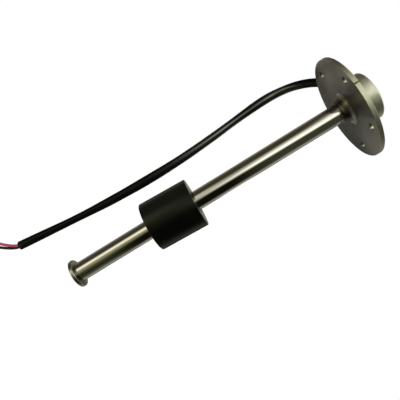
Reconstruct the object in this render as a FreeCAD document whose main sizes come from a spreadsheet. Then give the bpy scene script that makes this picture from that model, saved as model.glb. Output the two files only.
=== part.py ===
"""Reed tank level sender: a flanged steel stem, a sliding float and a free cable.

Millimetres. +Z runs up the stem, out of the tank. The origin is the centre of the
flange's tank-side face. +Y is the middle of the wide gap between two bolt holes,
where the cable leaves the head.
"""
import FreeCAD, Part
import math
import os

import Sketcher

Vector = FreeCAD.Vector

SIZES = {
    # Mounting flange: a turned plate with a five-hole pattern, four equal steps and one wide gap
    "flange_diameter": 68.5,
    "flange_thickness": 3.0,
    "flange_edge_chamfer": 0.2,
    "bolt_circle_diameter": 54.0,
    "bolt_hole_diameter": 5.4,
    "bolt_step_angle": 70.0,
    "notch_angle": 216.5,
    "notch_width": 1.0,
    "notch_depth": 1.5,
    "register_height": 0.8,
    "register_clearance": 0.1,
    # Stem tube, the bead that joins it to the flange, and the stop that closes its lower end
    "stem_diameter": 12.5,
    "stem_wall": 0.9,
    "stem_length": 199.5,
    "stem_projection": 2.0,
    "stem_clearance": 0.05,
    "bead_length": 4.8,
    "bead_nose_thickness": 0.8,
    "bead_nose_radius": 0.5,
    "bead_waist_thickness": 1.7,
    "bead_waist_height": 1.5,
    "bead_waist_radius": 2.4,
    "bead_toe_width": 3.6,
    "bead_penetration": 0.3,
    "stop_diameter": 18.9,
    "stop_thickness": 2.5,
    "stop_edge_radius": 0.6,
    "stop_spigot_length": 6.0,
    "stop_spigot_chamfer": 0.6,
    # Head cap over the wiring, with the cable's hole in its side
    "cap_diameter": 31.4,
    "cap_height": 13.7,
    "cap_wall": 1.2,
    "cap_corner_radius": 1.4,
    "cable_exit_height": 7.5,
    # Rubber grommet in the cap's hole
    "grommet_neck_diameter": 8.0,
    "grommet_collar_diameter": 9.6,
    "grommet_nose_diameter": 8.0,
    "grommet_outer_length": 4.6,
    "grommet_inner_length": 1.6,
    "grommet_seat_depth": 2.4,
    # Foam float with a ring magnet moulded into it
    "float_diameter": 33.0,
    "float_length": 33.3,
    "float_bore_diameter": 14.3,
    "float_edge_radius": 0.7,
    "float_bore_chamfer": 0.7,
    "float_rest_gap": 55.85,
    "magnet_outer_diameter": 25.0,
    "magnet_inner_diameter": 18.0,
    "magnet_length": 6.0,
    "magnet_clearance": 0.05,
    # Sensor board and its parts, inside the stem
    "board_width": 8.6,
    "board_thickness": 1.2,
    "board_end_gap": 2.0,
    "board_head_length": 2.0,
    "reed_diameter": 2.2,
    "reed_length": 14.0,
    "reed_standoff": 0.2,
    "reed_lead_diameter": 0.6,
    "reed_lead_length": 1.2,
    "resistor_length": 3.2,
    "resistor_width": 1.6,
    "resistor_height": 0.6,
    # Cable, its two cores and their tinned ends
    "cable_diameter": 6.0,
    "core_diameter": 2.2,
    "core_gap": 0.05,
    "strand_diameter": 1.0,
    "strand_length": 6.0,
    # Leads inside the head, from the cable's end onto the board's face
    "lead_reach": 4.0,
    "lead_standoff": 0.6,
    "lead_rise": 1.0,
    "lead_overlap": 4.0,
}

REED_COUNT = 8

# Centreline of the free cable, from its end inside the head to the end of its jacket
CABLE_ROUTE = [
    (0.0, 11.0, 10.5),
    (0.0, 23.5, 10.5),
    (1.0, 36.0, 9.0),
    (2.0, 49.5, 3.5),
    (3.5, 60.5, -5.5),
    (4.5, 66.5, -16.0),
    (4.5, 68.5, -30.0),
    (5.0, 66.5, -54.0),
    (6.5, 64.5, -81.0),
    (7.5, 63.5, -111.0),
    (7.5, 64.0, -142.0),
    (6.5, 65.0, -173.0),
    (4.5, 66.5, -203.0),
    (2.0, 68.0, -230.0),
    (0.42, 69.58, -250.5),
]

# Bare cores, from the end of the jacket to their tinned ends
RED_ROUTE = [
    (-0.69, 69.36, -250.43),
    (-0.89, 69.56, -253.01),
    (-7.1, 74.5, -263.05),
    (-11.0, 77.4, -266.1),
    (-15.0, 80.5, -273.5),
    (-17.5, 82.5, -282.0),
]
BLACK_ROUTE = [
    (1.53, 69.80, -250.57),
    (1.29, 70.04, -253.75),
    (-1.85, 72.1, -260.3),
    (-6.4, 75.6, -267.8),
    (-10.0, 78.3, -275.0),
    (-12.0, 80.0, -283.5),
]

# Share of the shorter run that a bend takes up on each side of its corner
BEND_SHARE = 0.45

doc = FreeCAD.newDocument("tank_level_sender")
sheet = doc.addObject("Spreadsheet::Sheet", "dims")
for row, (alias, number) in enumerate(SIZES.items(), start=1):
    sheet.set("A%d" % row, alias)
    sheet.set("B%d" % row, str(number))
    sheet.setAlias("B%d" % row, alias)
doc.recompute()

nodes = []


def size(alias):
    """A driving dimension, read from the sheet."""
    return float(sheet.get(alias))


def keep(item, name):
    """Name an object as one sub-part of the sender."""
    item.Label = name
    nodes.append(item)
    return item


def bind(item, **formulas):
    """Tie an object's properties to the sheet; a double underscore stands for a dot."""
    for name, formula in formulas.items():
        item.setExpression(name.replace("__", "."), formula)
    return item


def lift(item, formula):
    """Set an object's height by a formula."""
    item.setExpression("Placement.Base.z", formula)


def origin_feature(body, role):
    return [item for item in body.Origin.OriginFeatures if item.Role == role][0]


def new_body(name):
    return keep(doc.addObject("PartDesign::Body", name), name)


def new_sketch(body, name, role):
    sketch = body.newObject("Sketcher::SketchObject", name)
    sketch.AttachmentSupport = (origin_feature(body, role), [""])
    sketch.MapMode = "FlatFace"
    return sketch


def pin_point(sketch, geometry, point, place, seed):
    """Fix one point of a sketch at a place given by two formulas."""
    for kind, formula, start in zip(("DistanceX", "DistanceY"), place, seed):
        index = sketch.addConstraint(Sketcher.Constraint(kind, -1, 1, geometry, point, start))
        sketch.setExpression("Constraints[%d]" % index, formula)


def outline(body, name, role, corners):
    """A closed outline of straight lines through corners given by formulas."""
    sketch = new_sketch(body, name, role)
    count = len(corners)
    turns = [2 * math.pi * index / count for index in range(count)]
    seeds = [Vector(2 + math.cos(turn), 2 + math.sin(turn), 0) for turn in turns]
    for index in range(count):
        sketch.addGeometry(Part.LineSegment(seeds[index], seeds[(index + 1) % count]), False)
    for index in range(count):
        sketch.addConstraint(Sketcher.Constraint("Coincident", index, 2, (index + 1) % count, 1))
    for index, place in enumerate(corners):
        pin_point(sketch, index, 1, place, (seeds[index].x, seeds[index].y))
    return sketch


def circles(body, name, role, diameters, place=("0", "0")):
    """Circles about one centre, each with its diameter given by a formula."""
    sketch = new_sketch(body, name, role)
    for order, formula in enumerate(diameters, start=1):
        sketch.addGeometry(Part.Circle(Vector(1, 1, 0), Vector(0, 0, 1), order), False)
        index = sketch.addConstraint(Sketcher.Constraint("Diameter", order - 1, 2.0 * order))
        sketch.setExpression("Constraints[%d]" % index, formula)
        pin_point(sketch, order - 1, 3, place, (1, 1))
    return sketch


def pad(body, name, sketch, length):
    feature = body.newObject("PartDesign::Pad", name)
    feature.Profile = sketch
    feature.setExpression("Length", length)
    return feature


def turn(body, name, sketch, kind="PartDesign::Revolution"):
    """Turn an outline all the way round the body's Z axis."""
    feature = body.newObject(kind, name)
    feature.Profile = sketch
    feature.ReferenceAxis = (origin_feature(body, "Z_Axis"), [""])
    feature.Angle = 360
    return feature


def cut_through(body, name, sketch, reverse):
    """Cut a sketch through the body on one side of its plane."""
    doc.recompute()
    before = body.Shape.Volume
    feature = body.newObject("PartDesign::Pocket", name)
    feature.Profile = sketch
    feature.Type = "ThroughAll"
    feature.Reversed = reverse
    doc.recompute()
    if not feature.Shape.Volume < before:
        raise ValueError("the cut %s removes nothing" % name)
    return feature


def ring_edges(shape, radius, height):
    """Names of a shape's full round edges of one radius at one height."""
    names = []
    for number, edge in enumerate(shape.Edges, start=1):
        if not isinstance(edge.Curve, Part.Circle):
            continue
        same_radius = math.isclose(edge.Curve.Radius, radius, abs_tol=1e-4)
        same_height = math.isclose(edge.Curve.Center.z, height, abs_tol=1e-4)
        if same_radius and same_height:
            names.append("Edge%d" % number)
    if not names:
        raise ValueError("no edge of radius %g at height %g" % (radius, height))
    return names


def dress_edges(body, kind, name, rings, formula):
    """Round or bevel the ring edges that are given as (radius, height) pairs."""
    doc.recompute()
    base = body.Tip
    names = []
    for radius, height in rings:
        names += ring_edges(base.Shape, radius, height)
    feature = body.newObject(kind, name)
    feature.Base = (base, names)
    feature.setExpression("Radius" if kind.endswith("Fillet") else "Size", formula)
    doc.recompute()
    return feature


def make_flange():
    body = new_body("mounting_flange")
    plate = circles(body, "flange_outline", "XY_Plane", ["dims.flange_diameter"])
    pad(body, "flange_plate", plate, "dims.flange_thickness")
    rim = size("flange_diameter") / 2
    dress_edges(body, "PartDesign::Chamfer", "flange_rim_bevel",
                [(rim, 0), (rim, size("flange_thickness"))], "dims.flange_edge_chamfer")
    register = "dims.cap_diameter - 2 * dims.cap_wall - 2 * dims.register_clearance"
    step = circles(body, "register_outline", "XY_Plane", [register])
    pad(body, "cap_register", step, "dims.flange_thickness + dims.register_height")
    bore = circles(body, "stem_hole_outline", "XY_Plane",
                   ["dims.stem_diameter + 2 * dims.stem_clearance"])
    cut_through(body, "stem_hole", bore, True)
    fusion = circles(body, "bead_seat_outline", "XY_Plane",
                     ["dims.stem_diameter + 2 * dims.bead_toe_width"])
    seat = cut_through(body, "bead_seat", fusion, True)
    seat.Type = "Length"
    seat.setExpression("Length", "dims.bead_penetration")
    inner = "dims.flange_diameter / 2 - dims.notch_depth"
    outer = "dims.flange_diameter / 2 + dims.notch_depth"
    half = "dims.notch_width / 2"
    notch = outline(body, "notch_outline", "XY_Plane",
                    [(inner, "-" + half), (outer, "-" + half), (outer, half), (inner, half)])
    notch.AttachmentOffset = FreeCAD.Placement(Vector(), FreeCAD.Rotation(Vector(0, 0, 1), 1))
    notch.setExpression("AttachmentOffset.Rotation.Angle", "dims.notch_angle")
    cut_through(body, "orientation_notch", notch, True)
    half_gap = "180 - 2 * dims.bolt_step_angle"
    first = ("-dims.bolt_circle_diameter / 2 * sin(%s)" % half_gap,
             "dims.bolt_circle_diameter / 2 * cos(%s)" % half_gap)
    hole = circles(body, "bolt_hole_outline", "XY_Plane", ["dims.bolt_hole_diameter"], first)
    drilled = cut_through(body, "bolt_hole", hole, True)
    pattern = body.newObject("PartDesign::PolarPattern", "bolt_holes")
    pattern.Originals = [drilled]
    pattern.Axis = (origin_feature(body, "Z_Axis"), [""])
    pattern.Occurrences = 5
    pattern.setExpression("Angle", "4 * dims.bolt_step_angle")
    body.Tip = pattern


def make_stem():
    body = new_body("stem_tube")
    ring = circles(body, "stem_outline", "XY_Plane",
                   ["dims.stem_diameter", "dims.stem_diameter - 2 * dims.stem_wall"])
    pad(body, "stem_wall", ring, "dims.stem_length + dims.flange_thickness + dims.stem_projection")
    lift(body, "-dims.stem_length")


def make_bead():
    """The bead round the stem: blunt nose, sloping flank, hollow waist, flared toe, fused into the flange."""
    body = new_body("stem_weld")
    stem = "dims.stem_diameter / 2"
    nose = stem + " + dims.bead_nose_thickness"
    toe = stem + " + dims.bead_toe_width"
    corners = [
        (stem, "dims.bead_penetration"),
        (stem, "-dims.bead_length"),
        (nose, "-dims.bead_length"),
        (stem + " + dims.bead_waist_thickness", "-dims.bead_waist_height"),
        (toe, "0"),
        (toe, "dims.bead_penetration"),
    ]
    turn(body, "bead_turning", outline(body, "bead_outline", "XZ_Plane", corners))
    nose_radius = size("stem_diameter") / 2 + size("bead_nose_thickness")
    dress_edges(body, "PartDesign::Fillet", "bead_nose", [(nose_radius, -size("bead_length"))],
                "min(dims.bead_nose_radius; dims.bead_nose_thickness * 0.9)")
    waist_radius = size("stem_diameter") / 2 + size("bead_waist_thickness")
    dress_edges(body, "PartDesign::Fillet", "bead_waist", [(waist_radius, -size("bead_waist_height"))],
                "min(dims.bead_waist_radius; dims.bead_waist_height * 2)")


def make_stop():
    body = new_body("end_stop")
    disc = "dims.stop_diameter / 2"
    spigot = "dims.stem_diameter / 2 - dims.stem_wall - dims.stem_clearance"
    top = "dims.stop_thickness + dims.stop_spigot_length"
    corners = [("0", "0"), (disc, "0"), (disc, "dims.stop_thickness"),
               (spigot, "dims.stop_thickness"), (spigot, top), ("0", top)]
    turn(body, "stop_turning", outline(body, "stop_outline", "XZ_Plane", corners))
    radius = size("stop_diameter") / 2
    dress_edges(body, "PartDesign::Fillet", "stop_rim", [(radius, 0), (radius, size("stop_thickness"))],
                "min(dims.stop_edge_radius; dims.stop_thickness * 0.45)")
    spigot_radius = size("stem_diameter") / 2 - size("stem_wall") - size("stem_clearance")
    dress_edges(body, "PartDesign::Chamfer", "stop_lead_in",
                [(spigot_radius, size("stop_thickness") + size("stop_spigot_length"))],
                "dims.stop_spigot_chamfer")
    lift(body, "-dims.stem_length - dims.stop_thickness")


def make_cap():
    body = new_body("head_cap")
    outer = "dims.cap_diameter / 2"
    inner = "dims.cap_diameter / 2 - dims.cap_wall"
    ceiling = "dims.cap_height - dims.cap_wall"
    corners = [("0", "dims.cap_height"), ("0", ceiling), (inner, ceiling), (inner, "0"),
               (outer, "0"), (outer, "dims.cap_height")]
    turn(body, "cap_turning", outline(body, "cap_outline", "XZ_Plane", corners))
    dress_edges(body, "PartDesign::Fillet", "cap_corner",
                [(size("cap_diameter") / 2, size("cap_height"))], "dims.cap_corner_radius")
    hole = circles(body, "cable_hole_outline", "XZ_Plane", ["dims.grommet_neck_diameter"],
                   ("0", "dims.cable_exit_height"))
    cut_through(body, "cable_hole", hole, False)
    lift(body, "dims.flange_thickness")


def make_float():
    body = new_body("float_body")
    bore = "dims.float_bore_diameter / 2"
    skin = "dims.float_diameter / 2"
    corners = [(bore, "0"), (skin, "0"), (skin, "dims.float_length"), (bore, "dims.float_length")]
    turn(body, "float_moulding", outline(body, "float_outline", "XZ_Plane", corners))
    length = size("float_length")
    skin_radius = size("float_diameter") / 2
    bore_radius = size("float_bore_diameter") / 2
    dress_edges(body, "PartDesign::Fillet", "float_rims", [(skin_radius, 0), (skin_radius, length)],
                "dims.float_edge_radius")
    dress_edges(body, "PartDesign::Chamfer", "float_mouths", [(bore_radius, 0), (bore_radius, length)],
                "dims.float_bore_chamfer")
    inner = "dims.magnet_inner_diameter / 2 - dims.magnet_clearance"
    outer = "dims.magnet_outer_diameter / 2 + dims.magnet_clearance"
    low = "(dims.float_length - dims.magnet_length) / 2 - dims.magnet_clearance"
    high = "(dims.float_length + dims.magnet_length) / 2 + dims.magnet_clearance"
    room = outline(body, "magnet_room_outline", "XZ_Plane",
                   [(inner, low), (outer, low), (outer, high), (inner, high)])
    turn(body, "magnet_room", room, "PartDesign::Groove")
    lift(body, "dims.float_rest_gap - dims.stem_length")


def make_magnet():
    body = new_body("float_magnet")
    ring = circles(body, "magnet_outline", "XY_Plane",
                   ["dims.magnet_outer_diameter", "dims.magnet_inner_diameter"])
    pad(body, "magnet_ring", ring, "dims.magnet_length")
    lift(body, "dims.float_rest_gap - dims.stem_length + (dims.float_length - dims.magnet_length) / 2")


def post(name, radius, height, **places):
    """A cylinder along its own Z, tied to the sheet."""
    item = doc.addObject("Part::Cylinder", name)
    return bind(item, Radius=radius, Height=height, **places)


def along_y(item):
    """Turn a cylinder or cone so that its axis points along +Y."""
    item.Placement = FreeCAD.Placement(Vector(), FreeCAD.Rotation(Vector(1, 0, 0), -90))
    return item


def make_grommet():
    """A moulded grommet whose collars follow the curve of the cap's wall, with the cable's bore."""
    exit_height = "dims.flange_thickness + dims.cable_exit_height"
    wall = "dims.cap_diameter / 2"
    inside = wall + " - dims.cap_wall"
    nose = along_y(doc.addObject("Part::Cone", "grommet_nose"))
    bind(nose, Radius1="dims.grommet_collar_diameter / 2", Radius2="dims.grommet_nose_diameter / 2",
         Height="dims.grommet_seat_depth + dims.grommet_outer_length",
         Placement__Base__y=wall + " - dims.grommet_seat_depth", Placement__Base__z=exit_height)
    flange = along_y(post("grommet_flange", "dims.grommet_collar_diameter / 2",
                          "dims.grommet_seat_depth + dims.grommet_inner_length",
                          Placement__Base__z=exit_height))
    flange.setExpression("Placement.Base.y",
                         inside + " - dims.grommet_seat_depth - dims.grommet_inner_length")
    neck = along_y(post("grommet_neck", "dims.grommet_neck_diameter / 2",
                        "dims.cap_wall + dims.grommet_seat_depth", Placement__Base__z=exit_height))
    neck.setExpression("Placement.Base.y", inside + " - dims.grommet_seat_depth")
    bore = along_y(post("grommet_bore", "dims.cable_diameter / 2", "dims.cap_diameter",
                        Placement__Base__z=exit_height))
    outside_of_cap = post("cap_outer_form", wall, "dims.cap_height",
                          Placement__Base__z="dims.flange_thickness")
    inside_of_cap = post("cap_inner_form", inside, "dims.cap_height",
                         Placement__Base__z="dims.flange_thickness")
    outer_collar = doc.addObject("Part::Cut", "grommet_outer_collar")
    outer_collar.Base = nose
    outer_collar.Tool = outside_of_cap
    inner_collar = doc.addObject("Part::Common", "grommet_inner_collar")
    inner_collar.Base = flange
    inner_collar.Tool = inside_of_cap
    whole = doc.addObject("Part::MultiFuse", "grommet_blank")
    whole.Shapes = [outer_collar, neck, inner_collar]
    grommet = doc.addObject("Part::Cut", "cable_grommet")
    grommet.Base = whole
    grommet.Tool = bore
    keep(grommet, "cable_grommet")


def make_board():
    board = keep(doc.addObject("Part::Box", "sensor_board"), "sensor_board")
    bottom = "dims.stop_spigot_length + dims.board_end_gap - dims.stem_length"
    top = "dims.flange_thickness + dims.stem_projection + dims.board_head_length"
    bind(board, Length="dims.board_width", Width="dims.board_thickness",
         Height="%s - (%s)" % (top, bottom), Placement__Base__x="-dims.board_width / 2",
         Placement__Base__y="-dims.board_thickness / 2", Placement__Base__z=bottom)


def switch_height(index):
    """Formula for a switch's height: the magnet's travel, shared out evenly."""
    low = "(dims.float_length / 2 - dims.stem_length)"
    high = "(-dims.bead_length - dims.float_length / 2)"
    return "%s + (%s - %s) * %d / %d" % (low, high, low, index, REED_COUNT - 1)


def make_reed(index):
    """A glass reed switch with domed ends, standing on two bent leads."""
    name = "reed_switch_%d" % (index + 1)
    radius = "dims.reed_diameter / 2"
    dome = "(dims.reed_length - dims.reed_diameter) / 2"
    reach = "(dims.reed_length / 2 + dims.reed_lead_length)"
    rise = radius + " + dims.reed_standoff"
    wire = "dims.reed_lead_diameter / 2"
    glass = post(name + "_glass", radius, "2 * " + dome, Placement__Base__z="-" + dome)
    lead = post(name + "_lead", wire, "2 * " + reach, Placement__Base__z="-" + reach)
    pieces = [glass, lead]
    for side, sign in (("low", "-"), ("high", "")):
        end = doc.addObject("Part::Sphere", "%s_%s_dome" % (name, side))
        pieces.append(bind(end, Radius=radius, Placement__Base__z=sign + dome))
        elbow = doc.addObject("Part::Sphere", "%s_%s_elbow" % (name, side))
        pieces.append(bind(elbow, Radius=wire, Placement__Base__z=sign + reach))
        leg = along_y(post("%s_%s_leg" % (name, side), wire, rise))
        pieces.append(bind(leg, Placement__Base__y="-(%s)" % rise, Placement__Base__z=sign + reach))
    switch = doc.addObject("Part::MultiFuse", name)
    switch.Shapes = pieces
    bind(switch, Placement__Base__y="dims.board_thickness / 2 + " + rise,
         Placement__Base__z=switch_height(index))
    keep(switch, name)


def make_resistor(index):
    name = "resistor_%d" % (index + 1)
    chip = keep(doc.addObject("Part::Box", name), name)
    bind(chip, Length="dims.resistor_width", Width="dims.resistor_height", Height="dims.resistor_length",
         Placement__Base__x="-dims.resistor_width / 2",
         Placement__Base__y="-dims.board_thickness / 2 - dims.resistor_height",
         Placement__Base__z="%s - dims.resistor_length / 2" % switch_height(index))


def bent_path(points):
    """Straight runs joined by tangent arcs, each as large as its two runs allow."""
    places = [Vector(*point) for point in points]
    edges = []
    radii = []
    start = places[0]
    for before, corner, after in zip(places, places[1:], places[2:]):
        run_in = corner - before
        run_out = after - corner
        reach = BEND_SHARE * min(run_in.Length, run_out.Length)
        turn_angle = run_in.getAngle(run_out)
        radii.append(reach / math.tan(turn_angle / 2))
        run_in.normalize()
        run_out.normalize()
        first = corner - run_in * reach
        last = corner + run_out * reach
        inward = run_out - run_in
        inward.normalize()
        sagitta = reach * math.tan(turn_angle / 4)
        middle = (first + last) * 0.5 - inward * sagitta
        edges.append(Part.LineSegment(start, first).toShape())
        edges.append(Part.Arc(first, middle, last).toShape())
        start = last
    edges.append(Part.LineSegment(start, places[-1]).toShape())
    return Part.Wire(edges), radii


def make_cord(name, points, alias):
    """A round cord along a route, with its radii and volume compared with what they should be."""
    path, radii = bent_path(points)
    radius = size(alias) / 2
    direction = Vector(*points[1]) - Vector(*points[0])
    ring = Part.Circle(Vector(*points[0]), direction, radius).toShape()
    tube = path.makePipeShell([Part.Wire([ring])], True, False)
    cord = keep(doc.addObject("Part::Feature", name), name)
    cord.Shape = tube
    expected = math.pi * radius ** 2 * path.Length
    print("%s: length %.1f mm, volume %.4f of section times length, bend radii %s mm" % (
        name, path.Length, tube.Volume / expected, ", ".join("%.0f" % value for value in radii)))


def make_strands(name, points):
    """The tinned strands past the end of a core."""
    strands = keep(post(name, "dims.strand_diameter / 2", "dims.strand_length"), name)
    last = Vector(*points[-1])
    direction = last - Vector(*points[-2])
    strands.Placement = FreeCAD.Placement(last, FreeCAD.Rotation(Vector(0, 0, 1), direction))


def lead_route(side):
    """A core inside the head: out of the jacket, over, and down onto the board's face."""
    level = size("flange_thickness") + size("cable_exit_height")
    board_top = size("flange_thickness") + size("stem_projection") + size("board_head_length")
    face = size("board_thickness") / 2 + size("core_diameter") / 2
    end_offset = (size("core_diameter") + size("core_gap")) / 2
    pad_offset = size("board_width") / 4
    return [
        (side * end_offset, CABLE_ROUTE[0][1], level),
        (side * end_offset, face + size("lead_reach"), level),
        (side * pad_offset, face + size("lead_standoff"), board_top + size("lead_rise")),
        (side * pad_offset, face, board_top - size("lead_overlap")),
    ]


make_flange()
make_stem()
make_bead()
make_stop()
make_cap()
make_float()
make_magnet()
make_grommet()
make_board()
for number in range(REED_COUNT):
    make_reed(number)
    make_resistor(number)
make_cord("lead_red", lead_route(-1), "core_diameter")
make_cord("lead_black", lead_route(1), "core_diameter")
make_cord("cable_jacket", CABLE_ROUTE, "cable_diameter")
make_cord("core_red", RED_ROUTE, "core_diameter")
make_cord("core_black", BLACK_ROUTE, "core_diameter")
make_strands("core_red_tip", RED_ROUTE)
make_strands("core_black_tip", BLACK_ROUTE)

doc.recompute()
for item in doc.Objects:
    if "Invalid" in item.State or "Error" in item.State:
        raise ValueError("%s failed: %s" % (item.Name, item.State))
for node in nodes:
    if node.Shape.isNull() or not node.Shape.isValid() or len(node.Shape.Solids) != 1:
        raise ValueError("%s is not one valid solid" % node.Label)

os.makedirs("parts", exist_ok=True)
for node in nodes:
    node.Shape.exportStep("parts/%s.step" % node.Label)
print("%d sub-parts written" % len(nodes))
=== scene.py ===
import math

import bmesh
import bpy
from mathutils import Matrix, Vector


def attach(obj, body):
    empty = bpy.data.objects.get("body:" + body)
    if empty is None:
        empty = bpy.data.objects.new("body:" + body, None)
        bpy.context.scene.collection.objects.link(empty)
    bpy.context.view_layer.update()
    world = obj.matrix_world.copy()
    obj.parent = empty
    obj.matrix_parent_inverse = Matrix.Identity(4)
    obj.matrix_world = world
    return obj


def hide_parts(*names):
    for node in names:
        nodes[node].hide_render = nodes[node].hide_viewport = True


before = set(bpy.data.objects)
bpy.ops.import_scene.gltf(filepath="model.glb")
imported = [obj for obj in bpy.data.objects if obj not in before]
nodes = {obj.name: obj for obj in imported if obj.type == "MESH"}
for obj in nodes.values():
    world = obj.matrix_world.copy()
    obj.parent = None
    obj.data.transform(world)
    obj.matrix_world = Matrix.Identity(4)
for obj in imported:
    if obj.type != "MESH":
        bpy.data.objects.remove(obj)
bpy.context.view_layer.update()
scene = bpy.context.scene
scene.view_settings.view_transform = "Standard"

MM = 0.001

# Level directions in the photograph: towards the camera, and towards the stem's upper edge
TO_CAMERA = Vector((-0.6146, -0.7867, 0.0))
TO_UPPER_EDGE = Vector((-0.7870, 0.6146, 0.0))

# Control points of the cable and its two cores, in millimetres
CABLE_ROUTE = [
    (0.0, 11.0, 10.5),
    (0.0, 23.5, 10.5),
    (1.0, 36.0, 9.0),
    (2.0, 49.5, 3.5),
    (3.5, 60.5, -5.5),
    (4.5, 66.5, -16.0),
    (4.5, 68.5, -30.0),
    (5.0, 66.5, -54.0),
    (6.5, 64.5, -81.0),
    (7.5, 63.5, -111.0),
    (7.5, 64.0, -142.0),
    (6.5, 65.0, -173.0),
    (4.5, 66.5, -203.0),
    (2.0, 68.0, -230.0),
    (0.42, 69.58, -250.5),
]
RED_ROUTE = [
    (-0.69, 69.36, -250.43),
    (-0.89, 69.56, -253.01),
    (-7.1, 74.5, -263.05),
    (-11.0, 77.4, -266.1),
    (-15.0, 80.5, -273.5),
    (-17.5, 82.5, -282.0),
]
BLACK_ROUTE = [
    (1.53, 69.80, -250.57),
    (1.29, 70.04, -253.75),
    (-1.85, 72.1, -260.3),
    (-6.4, 75.6, -267.8),
    (-10.0, 78.3, -275.0),
    (-12.0, 80.0, -283.5),
]


# Shader nodes

# Most of a noise lies between these values
NOISE_RANGE = (0.3, 0.7)

# Where a mix node keeps its colours among its sockets
MIX_FIRST_COLOUR = 6
MIX_SECOND_COLOUR = 7
MIX_RESULT_COLOUR = 2


class Tree:
    """The nodes of a material or a world, with a short call for each kind of step."""

    def __init__(self, owner):
        owner.use_nodes = True
        self.nodes = owner.node_tree.nodes
        self.links = owner.node_tree.links

    def new(self, kind):
        return self.nodes.new("ShaderNode" + kind)

    def feed(self, socket, item):
        """Set a socket to a number, or link it to another node's output."""
        if isinstance(item, (int, float)):
            socket.default_value = item
        else:
            self.links.new(item, socket)

    def math(self, operation, first, second=0):
        node = self.new("Math")
        node.operation = operation
        self.feed(node.inputs[0], first)
        self.feed(node.inputs[1], second)
        return node.outputs["Value"]

    def chain(self, operation, items):
        """Join several items by one operation, in their order."""
        result = items[0]
        for item in items[1:]:
            result = self.math(operation, result, item)
        return result

    def plus(self, *items):
        return self.chain("ADD", items)

    def minus(self, *items):
        return self.chain("SUBTRACT", items)

    def times(self, *items):
        return self.chain("MULTIPLY", items)

    def most(self, *items):
        return self.chain("MAXIMUM", items)

    def average(self, first, second):
        return self.times(self.plus(first, second), 0.5)

    def span(self, value, low, high, at_low=0, at_high=1, shape="LINEAR"):
        """Map a value from one range to another, and hold it at both ends."""
        node = self.new("MapRange")
        node.interpolation_type = shape
        self.feed(node.inputs["Value"], value)
        sockets = ("From Min", "From Max", "To Min", "To Max")
        for socket, number in zip(sockets, (low, high, at_low, at_high)):
            node.inputs[socket].default_value = number
        return node.outputs["Result"]

    def rise(self, value, low, high, at_low=0, at_high=1):
        """A span with a gentle start and end."""
        return self.span(value, low, high, at_low, at_high, "SMOOTHSTEP")

    def fall(self, value, low, high):
        """1 below a range and 0 above it, gently."""
        return self.rise(value, low, high, 1, 0)

    def window(self, value, low, full, waning, high):
        """1 in the middle of a range and 0 outside it, gently."""
        return self.times(self.rise(value, low, full), self.fall(value, waning, high))

    def ramp(self, value, stops):
        """Colours at places from 0 to 1, blended between them."""
        node = self.new("ValToRGB")
        elements = node.color_ramp.elements
        while len(elements) < len(stops):
            elements.new(0.5)
        for element, (place, colour) in zip(elements, stops):
            element.position = place
            element.color = (*colour, 1)
        self.feed(node.inputs["Fac"], value)
        return node.outputs["Color"]

    def drift(self, noise, tones):
        """Go from one tone to another with a noise."""
        return self.ramp(noise, list(zip(NOISE_RANGE, tones)))

    def spread(self, noise, numbers):
        """Go from one number to another with a noise."""
        return self.span(noise, *NOISE_RANGE, *numbers)

    def blend(self, share, first, second):
        """Mix two colours by a share from 0 to 1."""
        node = self.new("Mix")
        node.data_type = "RGBA"
        self.feed(node.inputs["Factor"], share)
        self.feed(node.inputs[MIX_FIRST_COLOUR], first)
        self.feed(node.inputs[MIX_SECOND_COLOUR], second)
        return node.outputs[MIX_RESULT_COLOUR]

    def place(self, stretch=(1, 1, 1)):
        """A point's place in metres, stretched for a texture."""
        source = self.new("TexCoord")
        mapping = self.new("Mapping")
        mapping.inputs["Scale"].default_value = stretch
        self.feed(mapping.inputs["Vector"], source.outputs["Object"])
        return mapping.outputs["Vector"]

    def noise(self, place, scale, detail):
        texture = self.new("TexNoise")
        texture.inputs["Scale"].default_value = scale
        texture.inputs["Detail"].default_value = detail
        self.feed(texture.inputs["Vector"], place)
        return texture.outputs["Fac"]

    def axes(self, vector):
        """The three parts of a vector."""
        split = self.new("SeparateXYZ")
        self.feed(split.inputs["Vector"], vector)
        return split.outputs["X"], split.outputs["Y"], split.outputs["Z"]

    def height(self, place):
        """Height above the flange's tank side, in millimetres."""
        return self.math("DIVIDE", self.axes(place)[2], MM)

    def reach(self, place):
        """Distance from the stem's axis, in millimetres."""
        x, y, _ = self.axes(place)
        squares = self.plus(self.times(x, x), self.times(y, y))
        return self.math("DIVIDE", self.math("SQRT", squares), MM)

    def towards(self, place, direction):
        """How far a place lies in a level direction from the stem's axis, in millimetres."""
        x, y, _ = self.axes(place)
        distance = self.plus(self.times(x, direction.x), self.times(y, direction.y))
        return self.math("DIVIDE", distance, MM)

    def upward(self):
        """How far a surface faces up: 1 for a top, 0 for a wall and -1 for an underside."""
        return self.axes(self.new("TexCoord").outputs["Normal"])[2]

    def bump(self, shader, relief, strength, depth=0.1):
        """Roughen a shader by a relief with a depth in millimetres."""
        node = self.new("Bump")
        node.inputs["Strength"].default_value = strength
        node.inputs["Distance"].default_value = depth * MM
        self.feed(node.inputs["Height"], relief)
        self.feed(shader.inputs["Normal"], node.outputs["Normal"])

    def seen(self):
        """1 for what the camera, mirrors and glass see, and 0 for light that falls on other things."""
        path = self.new("LightPath").outputs
        return self.most(path["Is Camera Ray"], path["Is Glossy Ray"], path["Is Transmission Ray"])

    def mix_shaders(self, share, first, second):
        node = self.new("MixShader")
        self.feed(node.inputs["Fac"], share)
        self.feed(node.inputs[1], first)
        self.feed(node.inputs[2], second)
        return node.outputs["Shader"]


# Materials

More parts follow.
